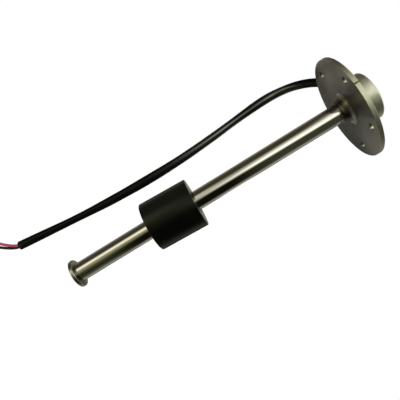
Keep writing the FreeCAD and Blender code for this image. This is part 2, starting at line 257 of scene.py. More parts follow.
def new_material(name, metallic=0.0):
    """A new material, its nodes and its shader."""
    material = bpy.data.materials.new(name)
    tree = Tree(material)
    shader = tree.nodes["Principled BSDF"]
    shader.inputs["Metallic"].default_value = metallic
    return material, tree, shader


def metal(name, tones, rough, grain_scale, grain_strength, patch_scale=60):
    """Bare metal: tone and roughness drift in patches, over a fine grain."""
    material, tree, shader = new_material(name, metallic=1.0)
    place = tree.place()
    patches = tree.noise(place, patch_scale, detail=4)
    grain = tree.noise(place, grain_scale, detail=2)
    tree.feed(shader.inputs["Base Color"], tree.drift(patches, tones))
    tree.feed(shader.inputs["Roughness"], tree.spread(tree.average(grain, patches), rough))
    tree.bump(shader, grain, grain_strength)
    return material


def polymer(name, tones, rough, specular, grain_scale, grain_strength):
    """Plastic, rubber or ferrite: a slight drift of tone and gloss, and a fine moulded grain."""
    material, tree, shader = new_material(name)
    shader.inputs["Specular IOR Level"].default_value = specular
    place = tree.place()
    patches = tree.noise(place, scale=90, detail=3)
    tree.feed(shader.inputs["Base Color"], tree.drift(patches, tones))
    tree.feed(shader.inputs["Roughness"], tree.spread(patches, rough))
    tree.bump(shader, tree.noise(place, grain_scale, detail=2), grain_strength)
    return material


# Bolt holes of the flange, in millimetres, and in degrees from the cable's side
BOLT_REACH = 27.0
BOLT_HOLE_RADIUS = 2.7
BOLT_FIRST = 40
BOLT_STEP = 70

# Each finish of the flange, and each tone painted over it as shade, highlight or sheen, drifts between two
# tones
FLANGE_TONES = {
    "face": ((0.53, 0.515, 0.49), (0.62, 0.605, 0.575)),
    "outer": ((0.69, 0.67, 0.635), (0.80, 0.78, 0.74)),
    "rim": ((0.50, 0.51, 0.40), (0.56, 0.57, 0.45)),
    "notch": ((0.17, 0.16, 0.13), (0.23, 0.22, 0.18)),
    "painted_shade": ((0.158, 0.151, 0.141), (0.20, 0.191, 0.178)),
    "darker_by_bead": ((0.28, 0.27, 0.25), (0.34, 0.325, 0.30)),
    "highlight_halo": ((0.80, 0.78, 0.73), (0.92, 0.90, 0.84)),
}
# Painted highlight and shade across a bolt hole's wall, from its side by the stem's lower edge to that by
# its upper edge
BOLT_HOLE_PAINTED_LIGHT = [
    (0.05, (0.70, 0.71, 0.56)),
    (0.22, (0.97, 0.99, 0.80)),
    (0.38, (0.97, 0.99, 0.80)),
    (0.52, (0.22, 0.21, 0.17)),
    (0.75, (0.12, 0.11, 0.09)),
]
# Where the flange's finishes, its painted light and its darker tone round the bead change, in millimetres
# from the stem's axis
FLANGE_HIGHLIGHT_HALO_END = (10.3, 12.1)
FLANGE_DARKER_BY_BEAD_END = (10, 22)
FLANGE_OUTER_SHEEN_START = (21, 33)
FLANGE_HOLES_END = (30.5, 31.0)
FLANGE_RIM_START = (33.9, 34.1)
# The same for its painted shade and painted highlight, towards the camera and to either side
PAINTED_SHADE_END_NEAR = (-22, 10)
FAN_START_NEAR = (4, 10)
FAN_END_ACROSS = (1, 7)
HIGHLIGHT_HALO_START_NEAR = (-3, 1)
HIGHLIGHT_HALO_START_ACROSS = (1, 5)
# How far the fan of painted shade opens on its way to the camera, and how strong it is
FAN_OPENING = 0.3
FAN_SHARE = 0.75
# A surface that faces up or down less than this is a wall
WALL_FACING = (0.4, 0.8)
FLANGE_ROUGH = (0.32, 0.40)
RIM_ROUGHER = 0.06
BOLT_HOLE_SMOOTHER = 0.04
TURNED_RINGS = 0.6


def across_bolt_hole(tree, place):
    """Place across the nearest bolt hole, from 0 by the stem's lower edge to 1 by its upper edge."""
    x, y, _ = tree.axes(place)
    turn = tree.times(tree.math("ARCTAN2", x, y), 180 / math.pi)
    turn = tree.plus(turn, tree.times(tree.math("LESS_THAN", turn, 0), 360))
    step = tree.math("ROUND", tree.math("DIVIDE", tree.minus(turn, BOLT_FIRST), BOLT_STEP))
    angle = tree.times(tree.plus(tree.times(step, BOLT_STEP), BOLT_FIRST), math.pi / 180)
    middle = tree.plus(
        tree.times(tree.math("SINE", angle), BOLT_REACH * TO_UPPER_EDGE.x),
        tree.times(tree.math("COSINE", angle), BOLT_REACH * TO_UPPER_EDGE.y),
    )
    across = tree.minus(tree.towards(place, TO_UPPER_EDGE), middle)
    return tree.span(across, -BOLT_HOLE_RADIUS, BOLT_HOLE_RADIUS)


def make_flange_steel():
    """Faces turned in fine rings, a plain rim, drilled holes and a notch.

    The faces are painted lighter towards the rim as sheen, and the walls of the holes carry a
    painted highlight and shade; the notch carries painted shade. On its tank side the flange has
    painted shade at the back and in a fan towards the camera. Round the bead it is darker, with
    painted highlights at the bead's sides.
    """
    material, tree, shader = new_material("flange_steel", metallic=1.0)
    place = tree.place()
    reach = tree.reach(place)
    near = tree.towards(place, TO_CAMERA)
    across = tree.math("ABSOLUTE", tree.towards(place, TO_UPPER_EDGE))
    upward = tree.upward()
    wall = tree.span(tree.math("ABSOLUTE", upward), *WALL_FACING, 1, 0)
    rim = tree.times(wall, tree.span(reach, *FLANGE_RIM_START))
    hole = tree.times(wall, tree.span(reach, *FLANGE_HOLES_END, 1, 0))
    notch = tree.minus(wall, rim, hole)
    patches = tree.noise(place, scale=70, detail=4)
    grain = tree.noise(place, scale=1500, detail=2)
    tones = {finish: tree.drift(patches, pair) for finish, pair in FLANGE_TONES.items()}

    # Painted sheen: the faces are painted lighter towards the rim
    face = tree.blend(tree.rise(reach, *FLANGE_OUTER_SHEEN_START), tones["face"], tones["outer"])
    # Painted shade on the tank side: a fan towards the camera, and the back
    fan = tree.fall(tree.minus(across, tree.times(near, FAN_OPENING)), *FAN_END_ACROSS)
    fan = tree.times(fan, tree.rise(near, *FAN_START_NEAR), FAN_SHARE)
    painted_shade = tree.most(tree.fall(near, *PAINTED_SHADE_END_NEAR), fan)
    painted_light = tree.blend(painted_shade, face, tones["painted_shade"])
    # Darker tone round the bead
    painted_light = tree.blend(tree.fall(reach, *FLANGE_DARKER_BY_BEAD_END), painted_light, tones["darker_by_bead"])
    # Painted highlight: a halo at the bead's sides
    highlight_halo = tree.times(
        tree.fall(reach, *FLANGE_HIGHLIGHT_HALO_END),
        tree.rise(across, *HIGHLIGHT_HALO_START_ACROSS),
        tree.rise(near, *HIGHLIGHT_HALO_START_NEAR),
    )
    painted_light = tree.blend(highlight_halo, painted_light, tones["highlight_halo"])
    # Only the tank side carries the painted shade and highlight
    tone = tree.blend(tree.math("LESS_THAN", upward, 0), face, painted_light)
    tone = tree.blend(rim, tone, tones["rim"])
    # Painted highlight and shade on the walls of the bolt holes
    tone = tree.blend(hole, tone, tree.ramp(across_bolt_hole(tree, place), BOLT_HOLE_PAINTED_LIGHT))
    # Painted shade in the notch
    tree.feed(shader.inputs["Base Color"], tree.blend(notch, tone, tones["notch"]))

    rough = tree.plus(tree.spread(grain, FLANGE_ROUGH), tree.times(rim, RIM_ROUGHER))
    rough = tree.minus(rough, tree.times(hole, BOLT_HOLE_SMOOTHER))
    tree.feed(shader.inputs["Roughness"], rough)
    around = tree.new("Tangent")
    around.direction_type = "RADIAL"
    around.axis = "Z"
    tree.feed(shader.inputs["Tangent"], around.outputs["Tangent"])
    tree.feed(shader.inputs["Anisotropic"], tree.times(tree.minus(1, wall), TURNED_RINGS))
    tree.bump(shader, grain, strength=0.2)
    return material


STEM_TONES = ((0.76, 0.74, 0.67), (0.80, 0.78, 0.71))
STEM_TINT_AND_SHADE_TONES = ((0.14, 0.12, 0.10), (0.19, 0.165, 0.14))
STEM_ROUGH = (0.07, 0.10)
STREAK_STRETCH = (1, 1, 0.02)
STREAK_RELIEF = 0.015
# Heights on the stem, in millimetres
STEM_SWELL = (-11.0, -5.5)
TINT_AND_SHADE_RING_START = (-5.8, -4.8)
TINT_AND_SHADE_EDGE = (-6.4, -4.2)
TINT_AND_SHADE_LOW_END = (-17, -10)
# The edge of the heat tint and painted shade drops towards the stem's upper edge, and wanders by a
# millimetre
TINT_AND_SHADE_DROP = 2.2
TINT_AND_SHADE_WANDER = 1.0
TINT_AND_SHADE_SHARE = 0.85


def make_stem_steel():
    """Polished tube with fine streaks along it, and heat tint with painted shade that runs down one side
    from the bead.
    """
    material, tree, shader = new_material("stem_steel", metallic=1.0)
    place = tree.place()
    height = tree.height(place)
    patches = tree.noise(place, scale=60, detail=4)
    streaks = tree.noise(tree.place(STREAK_STRETCH), scale=900, detail=2)
    # Heat tint and painted shade: dark where the bead is mirrored, further down on the side of the stem's
    # upper edge
    heat = tree.plus(
        height,
        tree.times(tree.towards(place, TO_UPPER_EDGE), TINT_AND_SHADE_DROP),
        tree.times(patches, TINT_AND_SHADE_WANDER),
    )
    side_tint_and_shade = tree.times(tree.rise(heat, *TINT_AND_SHADE_EDGE), TINT_AND_SHADE_SHARE, tree.rise(height, *TINT_AND_SHADE_LOW_END))
    tint_and_shade = tree.most(side_tint_and_shade, tree.rise(height, *TINT_AND_SHADE_RING_START))
    tone = tree.blend(tint_and_shade, tree.drift(patches, STEM_TONES), tree.drift(patches, STEM_TINT_AND_SHADE_TONES))
    tree.feed(shader.inputs["Base Color"], tone)
    tree.feed(shader.inputs["Roughness"], tree.spread(tree.average(streaks, patches), STEM_ROUGH))
    relief = tree.plus(tree.span(height, *STEM_SWELL), tree.times(streaks, STREAK_RELIEF))
    tree.bump(shader, relief, strength=1.0, depth=0.2)
    return material


# End stop, in millimetres
STOP_RADIUS = 9.45
STOP_SHADE_START_NEAR = (-3, 1)
STOP_TONES = ((0.48, 0.47, 0.38), (0.55, 0.54, 0.44))
# Painted shade across the stop's upper face, from the stem's lower edge to its upper edge
STOP_PAINTED_SHADE = [
    (0.0, (0.23, 0.225, 0.18)),
    (0.22, (0.20, 0.195, 0.155)),
    (0.38, (0.13, 0.125, 0.10)),
    (0.5, (0.055, 0.053, 0.04)),
    (0.62, (0.10, 0.097, 0.075)),
    (0.74, (0.40, 0.39, 0.31)),
    (1.0, (0.52, 0.51, 0.41)),
]
STOP_SHADE_FACING = (0.75, 0.95)
STOP_ROUGH = (0.25, 0.33)
STOP_GRAIN_STRETCH = (1, 1, 6)


def make_stop_steel():
    """Turned disc, with painted shade on the near half of its upper face."""
    material, tree, shader = new_material("stop_steel", metallic=1.0)
    place = tree.place()
    patches = tree.noise(place, scale=60, detail=4)
    grain = tree.noise(tree.place(STOP_GRAIN_STRETCH), scale=900, detail=2)
    across = tree.span(tree.towards(place, TO_UPPER_EDGE), -STOP_RADIUS, STOP_RADIUS)
    near = tree.towards(place, TO_CAMERA)
    # Painted shade on the near half of the upper face
    painted_light = tree.times(
        tree.rise(tree.upward(), *STOP_SHADE_FACING),
        tree.rise(near, *STOP_SHADE_START_NEAR),
    )
    tone = tree.blend(painted_light, tree.drift(patches, STOP_TONES), tree.ramp(across, STOP_PAINTED_SHADE))
    tree.feed(shader.inputs["Base Color"], tone)
    tree.feed(shader.inputs["Roughness"], tree.spread(tree.average(grain, patches), STOP_ROUGH))
    tree.bump(shader, grain, strength=0.06)
    return material


# Weld bead: heat tint up its flank, from its nose to the flange, darkest at the nose, with a painted
# highlight line by the nose and a painted highlight band on the flank
BEAD_TINT_AND_PAINTED_LIGHT = [
    (0.0, (0.05, 0.045, 0.035)),
    (0.07, (0.15, 0.15, 0.125)),
    (0.13, (0.18, 0.175, 0.15)),
    (0.20, (0.13, 0.118, 0.095)),
    (0.56, (0.15, 0.122, 0.09)),
    (0.74, (0.26, 0.216, 0.154)),
    (0.84, (0.35, 0.298, 0.22)),
    (0.94, (0.12, 0.10, 0.08)),
    (1.0, (0.12, 0.11, 0.09)),
]
# Painted shade across the bead, from the side of the stem's lower edge towards that of its upper edge
BEAD_PAINTED_SHADE = [
    (0.0, (0.18, 0.17, 0.14)),
    (0.42, (0.17, 0.16, 0.13)),
    (0.68, (0.065, 0.060, 0.047)),
    (1.0, (0.065, 0.056, 0.043)),
]
BEAD_HIGHLIGHT_TONES = ((0.36, 0.35, 0.31), (0.44, 0.43, 0.39))
BEAD_ROUGH = (0.22, 0.36)
# Heights on the bead, and places across it towards the stem's upper edge, in millimetres
BEAD_TINT_HEIGHT = (-4.5, 0.3)
BEAD_TINT_WANDER = 0.6
BEAD_SHADE_ACROSS = (-6, 3)
BEAD_SHADE_END_ACROSS = (0.8, 3.8)
BEAD_SHADE_START_HEIGHT = (-4.0, -3.0)
BEAD_HIGHLIGHT_UPPER_START = (6.0, 8.2)
BEAD_HIGHLIGHT_LOWER_END = (-7.6, -3.4)
BEAD_HIGHLIGHT_START_HEIGHT = (-1.2, -0.6)
# Ripples of the weld: how they repeat round the stem, slant with height, wander and stand out
RIPPLE_TURNS = 56
RIPPLE_SLANT = 0.9
RIPPLE_WANDER = 3
RIPPLE_RELIEF = 0.5


def make_bead_steel():
    """Fused steel laid in ripples: a painted highlight line round its nose, straw tint and a painted
    highlight band on its flank, painted shade, and painted highlights at its sides.
    """
    material, tree, shader = new_material("bead_steel", metallic=1.0)
    place = tree.place()
    height = tree.height(place)
    upper = tree.towards(place, TO_UPPER_EDGE)
    crust = tree.noise(place, scale=700, detail=4)
    wander = tree.times(tree.noise(place, scale=350, detail=3), BEAD_TINT_WANDER)
    # Heat tint with painted highlights: a line by the nose and a band on the flank
    tint = tree.ramp(tree.span(tree.plus(height, wander), *BEAD_TINT_HEIGHT), BEAD_TINT_AND_PAINTED_LIGHT)
    # Painted shade over the bead, darkest in the middle and absent on the side of the stem's upper edge
    side_shade = tree.ramp(tree.span(upper, *BEAD_SHADE_ACROSS), BEAD_PAINTED_SHADE)
    side_shaded = tree.times(
        tree.fall(upper, *BEAD_SHADE_END_ACROSS),
        tree.rise(height, *BEAD_SHADE_START_HEIGHT),
    )
    tone = tree.blend(side_shaded, tint, side_shade)
    # Painted highlights at the bead's sides by the flange
    pale = tree.most(tree.rise(upper, *BEAD_HIGHLIGHT_UPPER_START), tree.fall(upper, *BEAD_HIGHLIGHT_LOWER_END))
    pale = tree.times(pale, tree.rise(height, *BEAD_HIGHLIGHT_START_HEIGHT))
    tree.feed(shader.inputs["Base Color"], tree.blend(pale, tone, tree.drift(crust, BEAD_HIGHLIGHT_TONES)))
    tree.feed(shader.inputs["Roughness"], tree.spread(crust, BEAD_ROUGH))
    x, y, _ = tree.axes(place)
    laid = tree.plus(
        tree.times(tree.math("ARCTAN2", y, x), RIPPLE_TURNS),
        tree.times(height, RIPPLE_SLANT),
        tree.times(crust, RIPPLE_WANDER),
    )
    ripple = tree.plus(tree.times(tree.math("SINE", laid), RIPPLE_RELIEF), crust)
    tree.bump(shader, ripple, strength=0.2, depth=0.2)
    return material


FLOAT_TONES = ((0.0009, 0.0010, 0.0008), (0.0018, 0.0019, 0.0015))
FLOAT_SHEEN_TONES = ((0.0044, 0.0052, 0.0038), (0.0056, 0.0066, 0.0048))
FLOAT_ROUGH = (0.24, 0.30)
# Where the float's painted sheen starts, in millimetres towards the stem's upper edge
FLOAT_SHEEN_START = (1, 11)


def make_float_foam():
    """Smooth black foam, with a painted sheen along the side towards the stem's upper edge."""
    material, tree, shader = new_material("float_foam")
    shader.inputs["Specular IOR Level"].default_value = 0.27
    shader.inputs["Specular Tint"].default_value = (0.95, 1.0, 0.76, 1)
    place = tree.place()
    patches = tree.noise(place, scale=90, detail=3)
    # Painted sheen on the side towards the stem's upper edge
    pale = tree.rise(tree.towards(place, TO_UPPER_EDGE), *FLOAT_SHEEN_START)
    tone = tree.blend(pale, tree.drift(patches, FLOAT_TONES), tree.drift(patches, FLOAT_SHEEN_TONES))
    tree.feed(shader.inputs["Base Color"], tone)
    tree.feed(shader.inputs["Roughness"], tree.spread(patches, FLOAT_ROUGH))
    tree.bump(shader, tree.noise(place, scale=2500, detail=2), strength=0.04)
    return material


CABLE_TONES = ((0.0007, 0.0011, 0.0010), (0.0013, 0.0019, 0.0017))
# Specular level of the cable's jacket at heights in millimetres, the lowest first
CABLE_GLOSS = [
    (-140, 0.055),
    (-115, 0.14),
    (-103, 0.38),
    (-90, 0.66),
    (-67, 0.74),
    (-55, 0.42),
    (-43, 0.22),
    (-31, 0.33),
    (-19, 1.0),
    (-8, 0.22),
    (-3, 0.05),
]
# The jacket is smooth between two heights in millimetres, and rough past them
CABLE_SMOOTH_HEIGHT = (-118, -92, -12, -4)
CABLE_ROUGH = 0.36
CABLE_SMOOTH = 0.05
CABLE_ROUGH_DRIFT = (0, 0.05)


def make_cable_black():
    """Jacket whose gloss varies with height: smooth along its upper half, matt by the head and below."""
    material, tree, shader = new_material("cable_black")
    shader.inputs["IOR"].default_value = 2.0
    shader.inputs["Specular Tint"].default_value = (0.92, 1.0, 0.92, 1)
    place = tree.place()
    height = tree.height(place)
    patches = tree.noise(place, scale=90, detail=3)
    tree.feed(shader.inputs["Base Color"], tree.drift(patches, CABLE_TONES))
    lowest = CABLE_GLOSS[0][0]
    stops = [(1 - at_height / lowest, (level, level, level)) for at_height, level in CABLE_GLOSS]
    tree.feed(shader.inputs["Specular IOR Level"], tree.ramp(tree.span(height, lowest, 0), stops))
    smooth = tree.window(height, *CABLE_SMOOTH_HEIGHT)
    rough = tree.span(smooth, 0, 1, CABLE_ROUGH, CABLE_SMOOTH)
    tree.feed(shader.inputs["Roughness"], tree.plus(rough, tree.spread(patches, CABLE_ROUGH_DRIFT)))
    tree.bump(shader, tree.noise(place, scale=700, detail=2), strength=0.03)
    return material


REED_GLASS_TONES = ((0.62, 0.78, 0.66), (0.78, 0.88, 0.80))
REED_GLASS_ROUGH = (0.04, 0.09)


def make_reed_glass():
    """Pale green glass of the reed switches."""
    material, tree, shader = new_material("reed_glass")
    shader.inputs["Transmission Weight"].default_value = 0.7
    place = tree.place()
    patches = tree.noise(place, scale=200, detail=3)
    grain = tree.noise(place, scale=500, detail=3)
    tree.feed(shader.inputs["Base Color"], tree.drift(patches, REED_GLASS_TONES))
    tree.feed(shader.inputs["Roughness"], tree.spread(grain, REED_GLASS_ROUGH))
    return material


flange_steel = make_flange_steel()
stem_steel = make_stem_steel()
stop_steel = make_stop_steel()
bead_steel = make_bead_steel()
float_foam = make_float_foam()
cable_black = make_cable_black()
reed_glass = make_reed_glass()
cap_steel = metal(
    "cap_steel", ((0.56, 0.55, 0.46), (0.70, 0.69, 0.59)),
    rough=(0.38, 0.50), grain_scale=2200, grain_strength=0.35, patch_scale=220,
)
tinned = metal(
    "tinned", ((0.70, 0.69, 0.66), (0.80, 0.79, 0.76)),
    rough=(0.22, 0.34), grain_scale=1500, grain_strength=0.1,
)
grommet_rubber = polymer(
    "grommet_rubber", ((0.010, 0.010, 0.010), (0.018, 0.018, 0.017)),
    rough=(0.5, 0.6), specular=0.4, grain_scale=1800, grain_strength=0.15,
)
core_red_skin = polymer(
    "core_red_skin", ((0.30, 0.035, 0.08), (0.38, 0.05, 0.11)),
    rough=(0.32, 0.40), specular=0.5, grain_scale=900, grain_strength=0.05,
)
core_black_skin = polymer(
    "core_black_skin", ((0.002, 0.002, 0.002), (0.004, 0.004, 0.004)),
    rough=(0.42, 0.50), specular=0.4, grain_scale=900, grain_strength=0.05,
)
magnet_ferrite = polymer(
    "magnet_ferrite", ((0.03, 0.03, 0.03), (0.06, 0.06, 0.06)),
    rough=(0.55, 0.65), specular=0.5, grain_scale=1800, grain_strength=0.2,
)
board_mask = polymer(
    "board_mask", ((0.02, 0.12, 0.05), (0.03, 0.17, 0.07)),
    rough=(0.25, 0.35), specular=0.5, grain_scale=1500, grain_strength=0.1,
)
chip_black = polymer(
    "chip_black", ((0.015, 0.015, 0.015), (0.03, 0.03, 0.03)),
    rough=(0.4, 0.5), specular=0.5, grain_scale=1500, grain_strength=0.1,
)

SWITCHES = 8
finishes = {
    "mounting_flange": flange_steel,
    "head_cap": cap_steel,
    "stem_tube": stem_steel,
    "stem_weld": bead_steel,
    "end_stop": stop_steel,
    "float_magnet": magnet_ferrite,
    "cable_grommet": grommet_rubber,
    "sensor_board": board_mask,
    "lead_red": core_red_skin,
    "lead_black": core_black_skin,
}
for number in range(1, SWITCHES + 1):
    finishes["reed_switch_%d" % number] = reed_glass
    finishes["resistor_%d" % number] = chip_black
for name, material in finishes.items():
    nodes[name].data.materials.clear()
    nodes[name].data.materials.append(material)


# Pieces

def add_object(name, data):
    """Put a new object into the scene."""
    thing = bpy.data.objects.new(name, data)
    scene.collection.objects.link(thing)
    return thing


def add_mesh(name, vertices, faces, material, smooth=True):
    mesh = bpy.data.meshes.new(name)
    mesh.from_pydata([tuple(vertex) for vertex in vertices], [], faces)
    mesh.polygons.foreach_set("use_smooth", [smooth] * len(mesh.polygons))
    mesh.materials.append(material)
    return add_object(name, mesh)


def ring(middle, first, second, count):
    """Points round an ellipse with two half axes."""
    turns = [2 * math.pi * step / count for step in range(count)]
    return [middle + first * math.cos(turn) + second * math.sin(turn) for turn in turns]


def tube_faces(start, rings, count):
    """Faces of a tube whose rings of points follow one another, with its two ends last."""
    faces = []
    for here in range(start, start + (rings - 1) * count, count):
        ahead = here + count
        for step in range(count):
            after = (step + 1) % count
            faces.append((here + step, here + after, ahead + after, ahead + step))
    last = start + (rings - 1) * count
    faces.append(tuple(reversed(range(start, start + count))))
    faces.append(tuple(range(last, last + count)))
    return faces


def route_curve(name, points):
    """One open spline with a route's points as its control points."""
    curve = bpy.data.curves.new(name, "CURVE")
    curve.dimensions = "3D"
    curve.resolution_u = 12
    spline = curve.splines.new("NURBS")
    spline.points.add(len(points) - 1)
    for control, point in zip(spline.points, points):
        control.co = (*(Vector(point) * MM), 1)
    spline.order_u = 3
    spline.use_endpoint_u = True
    return curve


def read_route(points):
    """Points along a route's spline, read from the curve itself."""
    holder = add_object("route", route_curve("route", points))
    mesh = bpy.data.meshes.new_from_object(holder)
    places = [vertex.co.copy() for vertex in mesh.vertices]
    bpy.data.objects.remove(holder)
    bpy.data.meshes.remove(mesh)
    return places


def section_frames(places):
    """At each place, the way across the line to the stem's upper edge, and the way square to it."""
    sides = []
    for index in range(len(places)):
        ahead = places[min(index + 1, len(places) - 1)] - places[max(index - 1, 0)]
        ahead.normalize()
        side = (TO_UPPER_EDGE - ahead * TO_UPPER_EDGE.dot(ahead)).normalized()
        sides.append((side, ahead.cross(side)))
    return sides


# Half the jacket's width across the photograph, at distances along the cable, in millimetres
CABLE_HALF_WIDTHS = [
    (0, 3.1),
    (48, 3.15),
    (60, 3.08),
    (80, 3.42),
    (110, 2.94),
    (135, 3.2),
    (150, 3.32),
    (190, 3.72),
    (215, 3.46),
    (250, 2.86),
    (301, 3.46),
]
# Half the jacket's depth, away from the camera, is the same all along
CABLE_HALF_DEPTH = 2.8 * MM
CABLE_SIDES = 40


def cable_half_width(distance):
    """Half the jacket's width at a distance along the cable, blended gently between those given."""
    for (start, before), (end, after) in zip(CABLE_HALF_WIDTHS, CABLE_HALF_WIDTHS[1:]):
        if distance <= end * MM:
            break
    share = (distance / MM - start) / (end - start)
    share = min(1.0, max(0.0, share))
    return (before + (after - before) * share * share * (3 - 2 * share)) * MM


def make_cable():
    """The cable's jacket, and the line it follows."""
    places = read_route(CABLE_ROUTE)
    vertices = []
    run = 0.0
    before = places[0]
    for place, (wide, deep) in zip(places, section_frames(places)):
        run += (place - before).length
        before = place
        vertices += ring(place, wide * cable_half_width(run), deep * CABLE_HALF_DEPTH, CABLE_SIDES)
    cable = add_mesh("cable", vertices, tube_faces(0, len(places), CABLE_SIDES), cable_black)
    for end in (-2, -1):
        cable.data.polygons[end].use_smooth = False
    return cable, places


CORE_RADIUS = 1.1 * MM


def make_core(name, points, material):
    """One of the cable's two cores."""
    curve = route_curve(name, points)
    curve.bevel_depth = CORE_RADIUS
    curve.bevel_resolution = 6
    curve.use_fill_caps = True
    curve.materials.append(material)
    return add_object(name, curve)


STRANDS_ROUND = 6
STRAND_RADIUS = 0.165 * MM
STRAND_LENGTH = 6.0 * MM
STRAND_TWIST = math.radians(240)
STRAND_RINGS = 25
STRAND_SIDES = 8


def make_strands(name, points):
    """Tinned strands past a core's end: six twisted round one."""
    start = Vector(points[-1]) * MM
    ahead = (Vector(points[-1]) - Vector(points[-2])).normalized()
    first = ahead.orthogonal().normalized()
    second = ahead.cross(first)
    vertices = []
    faces = []
    for number in range(STRANDS_ROUND + 1):
        faces += tube_faces(len(vertices), STRAND_RINGS, STRAND_SIDES)
        reach = 0 if number == STRANDS_ROUND else 2 * STRAND_RADIUS
        for index in range(STRAND_RINGS):
            share = index / (STRAND_RINGS - 1)
            turn = 2 * math.pi * number / STRANDS_ROUND + STRAND_TWIST * share
            middle = start + ahead * (STRAND_LENGTH * share)
            middle += (first * math.cos(turn) + second * math.sin(turn)) * reach
            vertices += ring(middle, first * STRAND_RADIUS, second * STRAND_RADIUS, STRAND_SIDES)
    return add_mesh(name, vertices, faces, tinned)


FLOAT_MIDDLE = Vector((0, 0, -127.0)) * MM
FLOAT_RADIUS = 16.5 * MM
FLOAT_HALF_LENGTH = 16.65 * MM
FLOAT_BORE_RADIUS = 7.15 * MM
FLOAT_EDGE_RADIUS = 0.7 * MM
FLOAT_EDGE_STEPS = 8
FLOAT_SIDES = 96
FLOAT_LEAN = math.radians(-2.3)
FLOAT_SHARP = math.radians(30)


def make_float():
    """Foam float, turned about its bore; it hangs loose on the stem and leans by its clearance."""
    outline = [
        (FLOAT_BORE_RADIUS, 0.0),
        (FLOAT_BORE_RADIUS, FLOAT_HALF_LENGTH - FLOAT_EDGE_RADIUS),
        (FLOAT_BORE_RADIUS + FLOAT_EDGE_RADIUS, FLOAT_HALF_LENGTH),
    ]
    for step in range(FLOAT_EDGE_STEPS + 1):
        angle = math.pi / 2 * (1 - step / FLOAT_EDGE_STEPS)
        reach = FLOAT_RADIUS - FLOAT_EDGE_RADIUS + FLOAT_EDGE_RADIUS * math.cos(angle)
        height = FLOAT_HALF_LENGTH - FLOAT_EDGE_RADIUS + FLOAT_EDGE_RADIUS * math.sin(angle)
        outline.append((reach, height))
    outline += [(reach, -height) for reach, height in reversed(outline[1:])]
    lean = Matrix.Rotation(FLOAT_LEAN, 3, TO_CAMERA)
    total = len(outline)
    vertices = []
    faces = []
    for step in range(FLOAT_SIDES):
        angle = 2 * math.pi * step / FLOAT_SIDES
        here = step * total
        after = (step + 1) % FLOAT_SIDES * total
        for index, (reach, height) in enumerate(outline):
            point = Vector((reach * math.cos(angle), reach * math.sin(angle), height))
            vertices.append(FLOAT_MIDDLE + lean @ point)
            ahead = (index + 1) % total
            faces.append((here + index, here + ahead, after + ahead, after + index))
    return add_mesh("foam_float", vertices, faces, float_foam)


def sharpen(piece, limit):
    """Turn a piece's faces outwards, and split its shading at edges that turn by more than a limit."""
    with_edges = bmesh.new()
    with_edges.from_mesh(piece.data)
    bmesh.ops.recalc_face_normals(with_edges, faces=with_edges.faces)
    for edge in with_edges.edges:
        edge.smooth = edge.calc_face_angle(0) < limit
    with_edges.to_mesh(piece.data)
    with_edges.free()


foam_float = make_float()
sharpen(foam_float, FLOAT_SHARP)
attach(foam_float, "float")
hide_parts("float_body")
cable, cable_places = make_cable()
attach(cable, "sender")
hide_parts("cable_jacket")
core_red = make_core("red_core", RED_ROUTE, core_red_skin)
core_black = make_core("black_core", BLACK_ROUTE, core_black_skin)
red_tip = make_strands("red_core_strands", RED_ROUTE)
black_tip = make_strands("black_core_strands", BLACK_ROUTE)
for piece, node, slot in ((core_red, "core_red", "core_red"), (core_black, "core_black", "core_black"),
                          (red_tip, "core_red_tip", "tinned"), (black_tip, "core_black_tip", "tinned")):
    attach(piece, "sender")
    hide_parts(node)


# Camera

CAMERA_PLACE = Vector((-0.16985, -0.21874, -0.09194))
CAMERA_RIGHT = Vector((0.4418, -0.2835, 0.8511))
CAMERA_UP = Vector((-0.6535, 0.5483, 0.5218))
CAMERA_BACK = Vector((-0.6146, -0.7867, 0.0569))


def make_camera():
    data = bpy.data.cameras.new("camera")
    data.sensor_width = 36
    data.lens = 39.0
    camera = add_object("camera", data)
    pose = Matrix((CAMERA_RIGHT, CAMERA_UP, CAMERA_BACK)).transposed().to_4x4()
    pose.translation = CAMERA_PLACE
    camera.matrix_world = pose
    scene.camera = camera


# Studio: a white world, a pale floor, two lamps, and a dim tent of soft lights that only reflections see

WHITE = (1, 1, 1, 1)
BACKDROP_STRENGTH = 1.0
SOFT_LIGHT_STRENGTH = 0.55
FLOOR_HALF_SIDE = 4.0
FLOOR_LEVEL = -0.72
FLOOR_TONES = ((0.90, 0.90, 0.90), (0.94, 0.94, 0.94))
FLOOR_GLOW = 1.14
FLOOR_GLOW_SHARE = 0.82
TENT_RADIUS = 0.6
TENT_MIDDLE = Vector((0, 0, -0.1))
LAMP_AIM = Vector((0, 0.02, -0.1))


def make_world():
    """White where it is seen, and softer as light."""
    world = bpy.data.worlds.new("studio")
    scene.world = world
    tree = Tree(world)
    tree.nodes.clear()
    lights = []
    for strength in (SOFT_LIGHT_STRENGTH, BACKDROP_STRENGTH):
        light = tree.new("Background")
        light.inputs["Color"].default_value = WHITE
        light.inputs["Strength"].default_value = strength
        lights.append(light.outputs["Background"])
    output = tree.new("OutputWorld")
    tree.feed(output.inputs["Surface"], tree.mix_shaders(tree.seen(), *lights))


